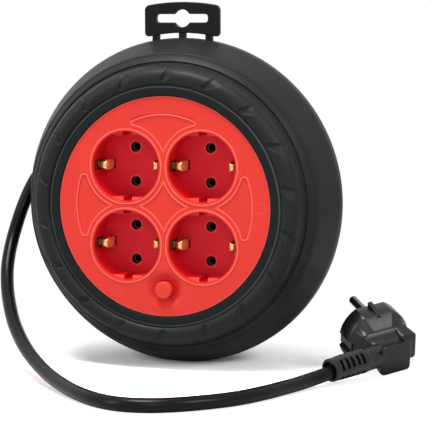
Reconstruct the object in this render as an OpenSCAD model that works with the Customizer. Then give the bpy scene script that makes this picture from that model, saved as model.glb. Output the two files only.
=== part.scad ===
// Extension cord reel: a tyre-shaped housing that stands on a flat foot, with a drum
// inside it that turns on a hub. The drum's front is a round plate with four earthed
// sockets and a reset button. The cord leaves the housing's back and ends in an
// angled plug. Millimetres, floor at Z = 0, drum axis along Y, sockets facing -Y.

/* [Housing] */
// Rise of the crown, the widest line, over the step where the two shells meet
crown_rise = 7.9; // [6.5:0.1:11]
// Depth of the flat foot's cut into the crown
foot_cut = 0.7; // [0.3:0.1:2]
// Wall thickness of both shells
wall = 2.5; // [1.8:0.1:3]
// Distance of the front crest and of the back rest face from the crown
half_depth = 38.4; // [37.6:0.1:41]
// Distance of the flat ring round the plate from the crown
ring_z = 36.9; // [36.2:0.1:37.4]
// Width of the flat ring round the plate
ring_w = 4.5; // [3:0.1:5.2]
// Width of the tyre bulge from its inner foot to its crest
bulge_in = 3.8; // [3:0.1:5]
// Width of the bulge from its crest to its outer foot
bulge_out = 6.6; // [5:0.1:8]
// Height of the bulge's outer flank
bulge_h = 8.4; // [7:0.1:9]
// Width of the groove between the bulge and the band
groove_w = 2.2; // [1.8:0.1:3]
// Width of the band between the groove and the parting step
band_w = 4.2; // [3.4:0.1:5]
// Distance of the parting plane from the crown
parting_z = 22; // [21.6:0.1:22.4]
// Width of the flat land round the crown
crown_w = 4.4; // [2:0.2:5]

/* [Tyre lugs] */
// Number of tongue-shaped recesses on the bulge
lug_count = 18; // [8:1:22]
// Width of a lug at its closed tip
lug_tip_w = 3; // [2:0.1:4]
// Width of a lug where it runs out
lug_end_w = 4.9; // [3:0.1:6]
// Lean of a lug from the radius, in degrees
lug_lean = 40; // [0:1:50]
// Depth of a lug at its tip
lug_depth = 1.1; // [0.4:0.1:1.4]
// Length of a lug's mark
lug_l = 12; // [8:0.5:14]
// Distance behind the crest over which the lugs run out
lug_run = 3; // [2:0.1:6]

/* [Shell screws] */
// Radius of a shell pillar
shell_pillar_r = 3.9; // [3.6:0.1:4]
// Depth of thread in the front shell
shell_thread = 3; // [2:0.1:3.2]
// Length of a shell screw below the parting plane
shell_grip = 8; // [6:0.5:10]

/* [Hang tab] */
// Width of the hang tab
tab_w = 43.2; // [40:0.2:60]
// Radial height of the hang tab
tab_h = 17.1; // [14:0.1:24]
// Thickness of the hang tab
tab_t = 4; // [2:0.1:4.4]
// Gap between crown and tab, bridged by the webs
tab_gap = 2.7; // [1.5:0.1:6]
// Width of one web
web_w = 4.2; // [2:0.1:6]
// Spacing of the webs
web_pitch = 15.4; // [10:0.1:17]
// Length of the hang slot
slot_w = 30; // [24:0.5:34]
// Height of the hang slot
slot_h = 4.8; // [3:0.1:6]
// Diameter of the round middle of the hang slot
slot_eye = 10.2; // [8:0.1:12]
// Radius of the tab's upper corners
tab_corner = 3; // [1:0.5:6]
// Radius of the slot's corners
slot_corner = 1.4; // [0.5:0.1:2.3]

/* [Socket plate] */
// Radius of the socket plate
plate_r = 59.95; // [59.5:0.05:60.5]
// Gap between the plate and the front shell
plate_gap = 0.35; // [0.3:0.05:0.6]
// Distance of the plate's face from the crown
plate_z = 36; // [35.4:0.1:36.4]
// Thickness of the plate
plate_t = 3; // [2:0.1:4]
// Spacing of the sockets, in both directions
socket_pitch = 43.15; // [42.6:0.05:44]
// Inner radius of a socket well
well_r = 19.25; // [18.5:0.05:19.3]
// Wall thickness of a well
well_wall = 1.45; // [1:0.05:1.5]
// Depth of a well below the plate's face
well_depth = 17.4; // [15:0.1:18.5]
// Height of the raised rim round a well
rim_h = 0.4; // [0.2:0.1:0.8]
// Distance of the guide flats from the middle of a well
flat_r = 16.9; // [16:0.1:18]
// Depth of the guide flats below the plate's face
flat_drop = 3; // [1:0.5:8]
// Width of the key notch in a guide flat
notch_w = 5; // [4:0.1:6]
// Spacing of the two pin holes
pin_pitch = 19; // [18.5:0.1:19.5]
// Diameter of a pin hole
pin_hole_d = 5.7; // [5.2:0.1:6]
// Distance between a well and the edge of the sunk panels
panel_gap = 4.35; // [3:0.05:6]
// Depth of the sunk panels
panel_depth = 0.35; // [0.2:0.05:0.8]
// Radius of the side panels' outer edge
panel_r = 50; // [46:0.5:52]
// Radius of the tips of the panels
panel_tip = 0.9; // [0.3:0.1:1.5]

/* [Reset button] */
// Radius of the button
button_r = 4.7; // [4:0.1:5.2]
// Gap round the button
button_gap = 0.35; // [0.2:0.05:0.6]
// Distance of the button from the drum axis
button_y = 45.5; // [45:0.1:46.5]
// Height of the button over the plate's face
button_out = 2.4; // [1:0.1:4]
// Travel of the button
button_travel = 2.5; // [1:0.1:3]
// Radius of the finger dish round the button
dish_r = 11.4; // [9:0.1:12]
// Depth of the finger dish
dish_depth = 2.8; // [1.5:0.1:3.2]

/* [Drum] */
// Distance of the core's outside from the plate's edge
core_inset = 0.65; // [0.4:0.05:1.5]
// Wall thickness of the core
core_wall = 2; // [1.5:0.1:2.4]
// Gap between the drum's flanges and the shell pillars
flange_gap = 0.6; // [0.4:0.1:4]
// Distance of the wound cable's outside from the flanges' edge
winding_inset = 0.5; // [0.2:0.1:8]
// Distance of a flange's outer face from the crown
flange_z = 24; // [23:0.1:24.4]
// Thickness of a flange
flange_t = 2; // [1.5:0.1:2.5]
// Radius of the hub pin
hub_r = 9; // [7:0.1:10]
// Running fit between hub pin and drum
hub_fit = 0.05; // [0.02:0.01:0.1]
// Length of the drum's hub
hub_len = 14; // [10:0.5:16]

/* [Plate screws] */
// Gap between the plate pillars and the drum's core
pillar_gap = 0.1; // [0.05:0.05:0.5]
// Radius of a plate pillar
plate_pillar_r = 3.5; // [3:0.1:3.5]
// Depth of thread in a plate pillar
plate_thread = 10; // [6:0.5:14]

/* [Screws] */
// Radius of a screw's shank
screw_r = 1.5; // [1.2:0.05:1.6]
// Radius of a screw's head
screw_head_r = 2.7; // [2.4:0.05:2.75]
// Height of a screw's head
screw_head_h = 2; // [1.5:0.1:2.4]

/* [Contacts] */
// Thickness of the metal strips
strip_t = 0.8; // [0.5:0.1:1]
// Width of an earth clip
clip_w = 5; // [4:0.1:6]
// Radius of a live or neutral contact tube
tulip_r = 3.2; // [3:0.1:3.4]
// Gap between a contact tube and the floor of its socket
tulip_gap = 1.5; // [0.5:0.1:2]
// Radius of the inner leads
lead_r = 1.1; // [0.8:0.1:1.1]
// Length over which a lead leaves the cable straight
lead_start = 1; // [0.5:0.1:2]
// Distance from the cable's end to the leads' first bend
lead_turn = 5; // [4:0.1:6]

/* [Cable clamp] */
// Distance of the clamp from the drum axis
clamp_x = 46; // [44:0.5:47]
// Width of the clamp
clamp_w = 8; // [7:0.5:9]
// Length of the clamp, across the cable
clamp_l = 21; // [20:0.5:24]
// Thickness of the clamp over the cable
clamp_t = 2; // [1.5:0.1:3]
// Spacing of the clamp's two screws
clamp_pitch = 14; // [13.5:0.1:15]

/* [Cord and plug] */
// Diameter of the cord
cord_d = 7.5; // [6.5:0.1:7.5]
// Diameter of the plug's front
plug_d = 36.8; // [36:0.1:38]
// Distance of the plug's flats from its middle
plug_flat = 16.3; // [15.6:0.1:17]
// Height of the plug's round front
plug_front_h = 11.3; // [8:0.1:12]
// Distance from the plug's front to its back
plug_h = 32.9; // [31:0.1:35]
// Diameter of a plug pin
pin_d = 4.8; // [4.6:0.1:4.8]
// Length of a plug pin
pin_l = 19; // [17:0.5:19.5]
// Diameter of a pin's root inside the plug
pin_root_d = 4; // [3:0.1:4.4]
// Number of slots along the bend relief
relief_slots = 5; // [3:1:5]

/* [Hidden] */
$fn = 64;
eps = 0.01;

black_plastic = [0.13, 0.13, 0.14];
red_plastic = [0.86, 0.16, 0.13];
brass = [0.80, 0.62, 0.28];
steel = [0.68, 0.69, 0.71];

// Housing outline, worked out from the plate outwards
opening_r = plate_r + plate_gap;
dip_r = opening_r + ring_w + 1.2;
dip_z = ring_z - 1;
crest_r = dip_r + bulge_in;
shoulder_z = half_depth - bulge_h;
shoulder_r = crest_r + bulge_out;
band_r = shoulder_r + groove_w;
band_z = parting_z + 5.2;
parting_r = band_r + band_w;
step_z = parting_z + 1;
housing_r = parting_r + crown_rise;
axle_h = housing_r - foot_cut;
cone_h = 16;
crown_edge_r = housing_r - 1.1;
rest_r = crest_r - 1.8;
rest_w = 4;

// Pillars, flanges and winding, each clear of the one outside it
shell_screw_ring = parting_r - shell_pillar_r;
flange_r = shell_screw_ring - shell_pillar_r - flange_gap;
winding_out_r = flange_r - winding_inset;
core_r = plate_r - core_inset;
plate_screw_ring = core_r - core_wall - plate_pillar_r - pillar_gap;

// Planes along the axis
shell_head_z = parting_z - shell_grip;
rear_wall_z = -ring_z + wall + 0.9;
hub_top_z = -flange_z + hub_len;
hub_play = 0.3;
well_floor_z = plate_z - well_depth;
floor_t = 3;
contact_z = well_floor_z - floor_t;
post_top_z = 0;
plate_head_z = post_top_z - 4;
skirt_z = plate_z - 6;
core_top_z = skirt_z;
live_z = 4;
neutral_z = 8;
earth_z = 12;
cover_z = -4;
cover_t = 2.5;
counterbore_r = screw_head_r + 0.1;

// Sockets
half_pitch = socket_pitch / 2;
rim_r = well_r + well_wall;
centres = [for (x = [-1, 1], y = [-1, 1]) half_pitch * [x, y]];
tulip_bore_r = tulip_r - 0.9;
tulip_top_z = contact_z - tulip_gap;
clip_foot_in = 6.2;
clip_slot_w = clip_w + 0.6;

// Button
collar_r = button_r + 1.5;
collar_t = 1.7;
sleeve_z = plate_z - 8;
collar_z = sleeve_z - 0.3 - collar_t;
cutout_w = 14;
cutout_h = 17;
cutout_back_z = live_z + strip_t;
cutout_top_z = collar_z - button_travel - 1.5;
plunger_r = 2;
plunger_in = 2.5;

// Cord, from the winding out through the bush and round to the plug
cord_r = cord_d / 2;
cord_points = [
    [-56.7, 17.5, 143.8], [-72.5, 18.75, 127.2], [-88.3, 20, 110.6], [-94.4, 20.2, 102.2],
    [-99.6, 19.4, 93.8], [-104.4, 15.2, 80], [-106.4, 6.2, 64], [-105, -4, 52.5],
    [-101.5, -14, 43], [-95, -27, 33.2], [-84, -45, 22.5], [-67.5, -67.5, 13.2],
    [-48, -91, 7.2], [-28.5, -113, 4.6], [-13, -129, 4], [0, -139, 3.8],
    [13, -144.5, 3.8], [27, -144, 3.8], [41.5, -137.2, 3.8], [55.7, -125.3, 3.8],
    [65.5, -113.6, 3.8], [73.9, -97.7, 3.8], [79.1, -84.7, 3.8], [83.8, -72.8, 3.9],
    [88.2, -63.2, 4.5], [92.8, -55.9, 5.5], [97.7, -48.6, 6.9]
];
cord_sides = 12;
rings_per_span = 3;
outlet_at = cord_points[0];
outlet_dir = (cord_points[2] - cord_points[0]) / norm(cord_points[2] - cord_points[0]);
bush_r = 5.6;
bush_start = 27;
bush_end = 47;
bush_gap = 0.45;
boss_r = bush_r + 2.4;

// Cable inside the drum: two layers of six turns, whose inner end lies in the clamp
winding_z = flange_z - flange_t - 0.2;
tail_z = -flange_z + flange_t + 0.5 + cord_r + 0.75;
tail_end = clamp_x - clamp_w / 2 - 4;
clamp_screw_r = screw_r - 0.3;
clamp_screw_l = 11.7;

// Plug: front face centre, and the turn that points its pins away and up
plug_at = [104.85, 2.81, 20.93];
plug_turn = [21.54, -9.96, 39.21];
plug_r = plug_d / 2;
rib_w = 4.6;
rib_out = 2.5;
ridge_z = -17;
ridge_size = [26.6, 20.8];
ear_z = -25.5;
ear_x = 15.5;
grip_x = [-9.5, 8.4];
grip_y = [-10.6, 8.1];
scoop_r = 9;
strip_w = 6;
strip_sink = 2;
strip_x = plug_r - strip_sink - strip_t;
pin_root_l = 9;
pin_tip = 1.2;
bridge_w = 11;
bridge_t = 3;

// Bend relief: middle of its mouth, its direction and its stretches
relief_at = [96.07, -51.02, 6.4];
relief_az = 56.3;
relief_el = 8.6;
relief_l = 34.8;
relief_in = 4;
relief_collar_r = 6.3;
relief_barrel_r = 7;
relief_neck_r = 6.4;
relief_barrel = [12, 25];
relief_seat = 3;
relief_slot_at = 10.3;
relief_pitch = 3.5;
relief_slot_w = 1.7;
relief_slot_l = 8.4;

// ---------- helpers ----------

// Points along part of an ellipse round c, with half axes a and b
function curve(c, a, b, from, to, n = 6) =
    [for (i = [0:n]) let (t = from + (to - from) * i / n) c + [a * cos(t), b * sin(t)]];

// The drum axis lies along local z, which points to the front
module in_place() translate([0, 0, axle_h]) rotate([90, 0, 0]) children();

module tube(r_out, r_in, z0, z1) translate([0, 0, z0]) difference() {
    cylinder(r = r_out, h = z1 - z0);
    translate([0, 0, -1]) cylinder(r = r_in, h = z1 - z0 + 2);
}

module disc(r, z0, z1) translate([0, 0, z0]) cylinder(r = r, h = z1 - z0);

module block(x, y, z) translate([x[0], y[0], z[0]])
    cube([x[1] - x[0], y[1] - y[0], z[1] - z[0]]);

module at_angles(angles, r) for (a = angles) rotate(a) translate([r, 0, 0]) children();

// A screw with its head's seat at z = 0 and its shank upward
module screw(l) {
    translate([0, 0, -screw_head_h]) cylinder(r = screw_head_r, h = screw_head_h);
    cylinder(r = screw_r, h = l);
}

// ---------- housing ----------

shell_angles = [20, 110, 200, 290];

front_outline = concat(
    [[opening_r, ring_z], [opening_r + ring_w, ring_z], [dip_r - 0.6, dip_z]],
    curve([crest_r, dip_z], bulge_in, half_depth - dip_z, 180, 90),
    curve([crest_r, shoulder_z], bulge_out, bulge_h, 75, 0, 5),
    [[band_r - 0.9, band_z - 0.6], [band_r, band_z], [parting_r - 1.6, step_z + 0.8],
     [parting_r - 1.3, step_z + 0.2], [parting_r - 0.4, step_z], [parting_r, parting_z]]
);

front_cavity = concat(
    [[parting_r - wall - 0.1, parting_z], [band_r - wall - 0.5, band_z - 2.3],
     [shoulder_r - wall, shoulder_z]],
    curve([crest_r, shoulder_z], bulge_out - wall, bulge_h - wall, 0, 90),
    [[dip_r + 1.2, dip_z - wall - 0.2], [opening_r, ring_z - wall - 0.2]]
);

// The bulge's surface, sunk by the depth of a lug and running out behind the crest
lug_floor = concat(
    [[opening_r, parting_z], [opening_r, dip_z - lug_depth], [dip_r, dip_z - lug_depth]],
    curve([crest_r, dip_z], bulge_in, half_depth - dip_z - lug_depth, 150, 90, 4),
    [[crest_r + lug_run, half_depth], [shoulder_r + 3, half_depth],
     [shoulder_r + 3, parting_z]]
);

module lug_print() {
    circle(d = lug_tip_w);
    polygon([[0, -lug_tip_w / 2], [lug_l, -lug_end_w / 2], [lug_l, lug_end_w / 2],
             [0, lug_tip_w / 2]]);
}

module lugs() difference() {
    translate([0, 0, shoulder_z - 4]) linear_extrude(height = bulge_h + 8)
        for (i = [0:lug_count - 1])
            rotate(10 + i * 360 / lug_count)
                translate([dip_r + 0.8 + lug_tip_w / 2, 0]) rotate(-lug_lean) lug_print();
    rotate_extrude($fn = 96) polygon(lug_floor);
}

module front_shell() color(black_plastic) in_place() difference() {
    union() {
        rotate_extrude($fn = 96) polygon(concat(front_outline, front_cavity));
        // screw pads, kept inside the outline
        intersection() {
            at_angles(shell_angles, shell_screw_ring)
                disc(shell_pillar_r, parting_z, parting_z + shell_thread + 1);
            rotate_extrude($fn = 96)
                polygon(concat(front_outline, [[opening_r, parting_z]]));
        }
    }
    lugs();
    at_angles(shell_angles, shell_screw_ring)
        disc(screw_r, parting_z - 1, parting_z + shell_thread);
}

rear_outline = concat(
    [[0, -ring_z + 0.9], [dip_r - 1.2, -ring_z + 0.9], [dip_r, -dip_z]],
    curve([rest_r, -dip_z], rest_r - dip_r, half_depth - dip_z, 180, 270, 4),
    curve([rest_r + rest_w, -shoulder_z], shoulder_r - rest_r - rest_w, bulge_h, -90, 0),
    [[band_r - 0.9, -band_z + 0.6], [band_r, -band_z], [parting_r - 1.6, -step_z - 0.8],
     [parting_r - 0.4, -step_z], [parting_r + 0.4, -parting_z + 0.4]],
    [[crown_edge_r, -parting_z + cone_h]],
    [[housing_r - 0.35, -crown_w / 2 - 1.6], [housing_r, -crown_w / 2],
     [housing_r, crown_w / 2], [housing_r - 0.35, crown_w / 2 + 1.6]],
    [[crown_edge_r, parting_z - cone_h], [parting_r + 0.4, parting_z - 0.4],
     [parting_r, parting_z]]
);

rear_cavity = concat(
    [[parting_r - wall - 0.1, parting_z], [crown_edge_r - wall, parting_z - cone_h],
     [housing_r - wall, crown_w / 2], [housing_r - wall, -crown_w / 2],
     [crown_edge_r - wall, -parting_z + cone_h],
     [parting_r - wall + 0.4, -parting_z + 0.6], [band_r - wall - 0.5, -band_z + 2.3],
     [shoulder_r - wall, -shoulder_z]],
    curve([rest_r + rest_w, -shoulder_z], shoulder_r - rest_r - rest_w - wall,
          bulge_h - wall, 0, -90, 4),
    [[rest_r + 0.5, -half_depth + wall], [dip_r + 0.5, rear_wall_z], [0, rear_wall_z]]
);

module outlet(t0, t1, r) translate(outlet_at)
    rotate([0, acos(outlet_dir[2]), atan2(outlet_dir[1], outlet_dir[0])])
        translate([0, 0, t0]) cylinder(r = r, h = t1 - t0);

module rear_shell() color(black_plastic) difference() {
    union() {
        in_place() {
            rotate_extrude($fn = 96) polygon(concat(rear_outline, rear_cavity));
            // hub pin on its shoulder
            disc(hub_r + 3, rear_wall_z - 1, -flange_z - hub_play);
            disc(hub_r, rear_wall_z - 1, hub_top_z + hub_play);
            // screw pillars, kept inside the outline
            intersection() {
                at_angles(shell_angles, shell_screw_ring)
                    disc(shell_pillar_r, -half_depth, parting_z);
                rotate_extrude($fn = 96) polygon(concat(rear_outline, [[0, parting_z]]));
            }
        }
        // boss round the cable outlet, kept inside the crown's radius
        intersection() {
            difference() {
                outlet(8, 62, boss_r);
                in_place() disc(winding_out_r + cord_d, -flange_z - flange_gap, parting_z);
            }
            in_place() disc(housing_r, -band_z, parting_z);
        }
    }
    in_place() {
        disc(screw_r, hub_top_z - 12, hub_top_z + hub_play + 1);
        at_angles(shell_angles, shell_screw_ring) {
            disc(screw_r, parting_z - 10, parting_z + 1);
            disc(counterbore_r, -half_depth, shell_head_z);
        }
    }
    outlet(-10, bush_start, cord_r + bush_gap);
    outlet(bush_start, 80, bush_r);
    // flat foot
    block([-housing_r, housing_r], [-half_depth, half_depth], [-2 * foot_cut, 0]);
}

module tab_outline() {
    inner = housing_r + tab_gap;
    difference() {
        offset(r = tab_corner, $fn = 32) offset(delta = -tab_corner) intersection() {
            circle(r = inner + tab_h, $fn = 180);
            translate([-tab_w / 2, inner - tab_h]) square([tab_w, 2 * tab_h]);
        }
        circle(r = inner, $fn = 180);
        translate([0, inner + tab_h / 2 - 0.5]) {
            offset(r = slot_corner, $fn = 24) offset(delta = -slot_corner)
                square([slot_w, slot_h], center = true);
            circle(d = slot_eye, $fn = 32);
        }
    }
}

// Moulded in one with the rear shell, and stands on it by three thin webs
module hang_tab() color(black_plastic) in_place() {
    translate([0, 0, -tab_t / 2]) linear_extrude(height = tab_t) tab_outline();
    difference() {
        for (x = [-web_pitch, 0, web_pitch])
            block([x - web_w / 2, x + web_w / 2], [housing_r - 4, housing_r + tab_gap + 1],
                  [-tab_t / 2, tab_t / 2]);
        disc(housing_r, -tab_t, tab_t);
    }
}

module shell_screws() color(steel) in_place() at_angles(shell_angles, shell_screw_ring)
    translate([0, 0, shell_head_z]) screw(parting_z + shell_thread - shell_head_z);

module cable_bush() color(black_plastic) difference() {
    outlet(bush_start, bush_end, bush_r);
    outlet(bush_start - 1, bush_end + 1, cord_r + bush_gap);
    // mouth flared for the cord
    translate(outlet_at)
        rotate([0, acos(outlet_dir[2]), atan2(outlet_dir[1], outlet_dir[0])])
            translate([0, 0, bush_end - 1])
                cylinder(r1 = cord_r + bush_gap, r2 = bush_r - 0.3, h = 1 + eps);
}

// ---------- cord ----------

function through(p, i) =
    i < 0 ? 2 * p[0] - p[1] :
    i > len(p) - 1 ? 2 * p[len(p) - 1] - p[len(p) - 2] : p[i];

// Smooth line through the points, by the Catmull-Rom rule
function between(a, b, c, d, t) =
    0.5 * (2 * b + (c - a) * t + (2 * a - 5 * b + 4 * c - d) * t * t
           + (3 * b - a - 3 * c + d) * t * t * t);
function smooth(p, n) = concat(
    [for (i = [0:len(p) - 2], k = [0:n - 1])
        between(through(p, i - 1), p[i], p[i + 1], through(p, i + 2), k / n)],
    [p[len(p) - 1]]);
function heading(p, i) =
    let (d = p[min(i + 1, len(p) - 1)] - p[max(i - 1, 0)]) d / norm(d);
function side_of(t, v) = let (s = v - (v * t) * t) s / norm(s);
// The side direction is carried along the line, so that the tube doesn't twist
function sides_along(p, i = 0, v = [0, 0, 1]) =
    i == len(p) ? [] :
    let (s = side_of(heading(p, i), v)) concat([s], sides_along(p, i + 1, s));

module swept_tube(p, r, sides) {
    u = sides_along(p);
    rings = [for (i = [0:len(p) - 1], k = [0:sides - 1])
        let (w = cross(heading(p, i), u[i]), a = 360 * k / sides)
            p[i] + r * (cos(a) * u[i] + sin(a) * w)];
    last = (len(p) - 1) * sides;
    walls = [for (i = [0:len(p) - 2], k = [0:sides - 1])
        let (a = i * sides + k, b = i * sides + (k + 1) % sides)
            each [[a, a + sides, b], [b, a + sides, b + sides]]];
    caps = [for (k = [1:sides - 2])
        each [[0, k, k + 1], [last, last + k + 1, last + k]]];
    polyhedron(points = rings, faces = concat(walls, caps));
}

module cord_free() color(black_plastic)
    swept_tube(smooth(cord_points, rings_per_span), cord_r, cord_sides);

// ---------- plug ----------

// In the plug's frame the pins point along +z and the cable comes in from -x
module plug_frame() translate(plug_at) rotate(plug_turn) rotate([-90, 0, 0]) children();

module relief_frame() translate(relief_at)
    rotate([0, 90 - relief_el, relief_az]) children();

module plug_outline() intersection() {
    circle(r = plug_r);
    square([2 * plug_r + 2, 2 * plug_flat], center = true);
}

module slab(z) translate([0, 0, z]) linear_extrude(height = 0.5) children();

// From the round front the body narrows, widens to a ridge and ends in an ear on the
// far side of the cable; a finger scoop on both flats leads up to the grip
module plug_loft() difference() {
    union() {
        hull() {
            slab(-plug_front_h) intersection() {
                scale([0.66, 1]) circle(r = plug_r - 0.8, $fn = 32);
                square(2 * plug_flat, center = true);
            }
            slab(ridge_z) square(ridge_size, center = true);
        }
        hull() {
            slab(ridge_z) square(ridge_size, center = true);
            slab(ear_z) polygon([
                [grip_x[0], -9], [ear_x, -9], [ear_x, 6], [ear_x - 2, 7.6], [grip_x[0], 7.6]
            ]);
        }
    }
    for (s = [-1, 1]) translate([grip_x[0] - 6, s * (scoop_r + 7.3), -24])
        rotate([0, 90, 0]) cylinder(r = scoop_r, h = 25);
}

module plug_grip() intersection() {
    block(grip_x, grip_y, [-plug_h, ear_z + 2]);
    translate([0, 0, -plug_h - 1]) linear_extrude(height = plug_h)
        offset(r = 2.5, $fn = 24) offset(delta = -2.5) translate([grip_x[0], grip_y[0] - 5])
            square([grip_x[1] - grip_x[0], grip_y[1] - grip_y[0] + 5]);
}

module plug_body() color(black_plastic) difference() {
    plug_frame() difference() {
        union() {
            translate([0, 0, -plug_front_h]) linear_extrude(height = plug_front_h)
                plug_outline();
            plug_loft();
            plug_grip();
            for (s = [-1, 1])
                block([-rib_w / 2, rib_w / 2],
                      s > 0 ? [plug_flat - 1, plug_flat + rib_out]
                            : [-plug_flat - rib_out, -plug_flat + 1],
                      [-plug_front_h - 2, -1]);
        }
        // pocket of the pin bridge
        translate([0, 0, -bridge_t]) linear_extrude(height = bridge_t + 1) bridge_outline(0);
        for (s = [-1, 1]) {
            // pin roots
            translate([0, s * pin_pitch / 2, -pin_root_l])
                cylinder(d = pin_root_d, h = pin_root_l + 1);
            // grooves of the earth strips
            translate([s * (strip_x + plug_r / 2), 0, -plug_front_h / 2])
                cube([plug_r, strip_w + 0.8, plug_front_h + 2], center = true);
        }
    }
    relief_frame() translate([0, 0, relief_barrel[1]])
        cylinder(r = relief_neck_r, h = relief_l + relief_in - relief_barrel[1]);
    // its lowest edges are level with the floor
    translate(plug_at) translate([-3 * plug_r, -3 * plug_r, -2 * plug_at[2]])
        cube([6 * plug_r, 6 * plug_r, plug_at[2]]);
}

module bridge_outline(gap) {
    square([bridge_w - 2 * gap, pin_pitch], center = true);
    for (s = [-1, 1]) translate([0, s * pin_pitch / 2]) circle(d = bridge_w - 2 * gap);
}

module plug_face() color(black_plastic) plug_frame() difference() {
    translate([0, 0, -bridge_t]) linear_extrude(height = bridge_t) bridge_outline(0.05);
    for (s = [-1, 1]) translate([0, s * pin_pitch / 2, -bridge_t - 1])
        cylinder(d = pin_root_d, h = bridge_t + 2);
}

module plug_pins() color(steel) plug_frame() for (s = [-1, 1])
    translate([0, s * pin_pitch / 2, 0]) {
        translate([0, 0, -pin_root_l]) cylinder(d = pin_root_d, h = pin_root_l + 1);
        cylinder(d = pin_d, h = pin_l - pin_tip);
        translate([0, 0, pin_l - pin_tip])
            cylinder(d1 = pin_d, d2 = pin_d - 1.5 * pin_tip, h = pin_tip);
    }

module plug_earth_strips() color(steel) plug_frame() for (s = [-1, 1])
    scale([s, 1, 1]) {
        block([strip_x, strip_x + strip_t], [-strip_w / 2, strip_w / 2],
              [-plug_front_h, strip_t]);
        block([strip_x - 4, strip_x + eps], [-strip_w / 2, strip_w / 2], [0, strip_t]);
    }

// A slot with round ends that is cut into the relief's side
module relief_slot() translate([cord_r + 0.8, 0, 0]) rotate([0, 90, 0])
    linear_extrude(height = relief_barrel_r) {
        square([relief_slot_w, relief_slot_l - relief_slot_w], center = true);
        for (s = [-1, 1]) translate([0, s * (relief_slot_l - relief_slot_w) / 2])
            circle(d = relief_slot_w, $fn = 24);
    }

module plug_bend_relief() color(black_plastic) relief_frame() difference() {
    rotate_extrude() polygon([
        [0, 0], [relief_collar_r, 0], [relief_collar_r, 3], [relief_collar_r - 0.4, 4],
        [relief_barrel_r, relief_barrel[0]], [relief_barrel_r, relief_barrel[1]],
        [relief_neck_r, relief_barrel[1] + 2], [relief_neck_r, relief_l + relief_in],
        [0, relief_l + relief_in]
    ]);
    translate([0, 0, -1]) cylinder(r = cord_r + 1.1, h = relief_seat + 1);
    // four rows of slots, which leave four spines between them
    for (i = [0:relief_slots - 1], a = [45:90:315])
        translate([0, 0, relief_slot_at + i * relief_pitch]) rotate(a) relief_slot();
}

// ---------- drum ----------

module well_space() {
    translate([0, 0, well_floor_z]) linear_extrude(height = well_depth - flat_drop)
        difference() {
            circle(r = well_r);
            for (s = [-1, 1]) translate([0, s * (flat_r + well_r / 2)]) difference() {
                square([2 * well_r, well_r], center = true);
                square([notch_w, well_r + 2], center = true);
            }
        }
    disc(well_r, plate_z - flat_drop, plate_z + rim_h + 1);
}

// What the wells leave of an outline
module between_wells() difference() {
    children();
    for (c = centres) translate(c) circle(r = well_r + panel_gap);
}

module panel_outlines() offset(r = panel_tip, $fn = 24) offset(delta = -panel_tip) {
    // star in the middle
    between_wells() square(half_pitch * 1.3, center = true);
    // left and right
    between_wells() intersection() {
        circle(r = panel_r);
        for (s = [-1, 1]) translate([s * plate_r, 0])
            square([2 * (plate_r - half_pitch - 7.4), 2 * (half_pitch - 2.6)], center = true);
    }
    // upper lens on its stem
    between_wells() translate([0, plate_r - 22]) square([24, 16], center = true);
    translate([0, plate_r - 13]) scale([1, 0.19]) circle(r = 18.2);
}

clip_line = [
    [clip_foot_in, 0], [5.3, well_depth - 10], [4.5, well_depth - 8.2],
    [2.4, well_depth - 6.7], [-0.9, well_depth - 6.3]
];

module clip_slots() for (s = [-1, 1]) {
    // foot
    translate([s * (well_r - clip_foot_in), 0, contact_z + floor_t / 2])
        cube([2.4, clip_slot_w, floor_t + 2], center = true);
    // pocket for the tip
    translate([s * well_r, 0, well_floor_z + well_depth - 6.2])
        cube([2.4, clip_slot_w, 2.4], center = true);
}

module button_here() translate([0, -button_y, 0]) children();

module socket_plate() color(red_plastic) in_place() difference() {
    union() {
        disc(plate_r, plate_z - plate_t, plate_z);
        tube(plate_r, core_r - core_wall, skirt_z, plate_z - plate_t + eps);
        for (c = centres) translate(c) disc(rim_r, contact_z, plate_z + rim_h);
        at_angles([0, 120, 240], plate_screw_ring)
            disc(plate_pillar_r, post_top_z, plate_z - plate_t + eps);
        disc(4, cover_z + cover_t, plate_z - plate_t + eps);
        button_here() {
            disc(dish_r + 0.6, plate_z - plate_t - dish_depth, plate_z);
            disc(button_r + button_gap + 1.8, sleeve_z, plate_z - plate_t);
        }
    }
    for (c = centres) translate(c) {
        well_space();
        clip_slots();
        for (s = [-1, 1]) translate([0, s * pin_pitch / 2, 0])
            disc(pin_hole_d / 2, contact_z - 1, well_floor_z + 1);
    }
    difference() {
        translate([0, 0, plate_z - panel_depth]) linear_extrude(height = 2)
            panel_outlines($fn = 120);
        button_here() disc(dish_r + 1, 0, plate_z + 3);
    }
    button_here() {
        disc(button_r + button_gap, sleeve_z - 1, plate_z + 1);
        translate([0, 0, plate_z - dish_depth])
            cylinder(r1 = button_r + 1.6, r2 = dish_r, h = dish_depth + eps);
    }
    at_angles([0, 120, 240], plate_screw_ring)
        disc(screw_r, post_top_z - 1, post_top_z + plate_thread);
    disc(screw_r, cover_z, cover_z + cover_t + 8);
}

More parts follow.
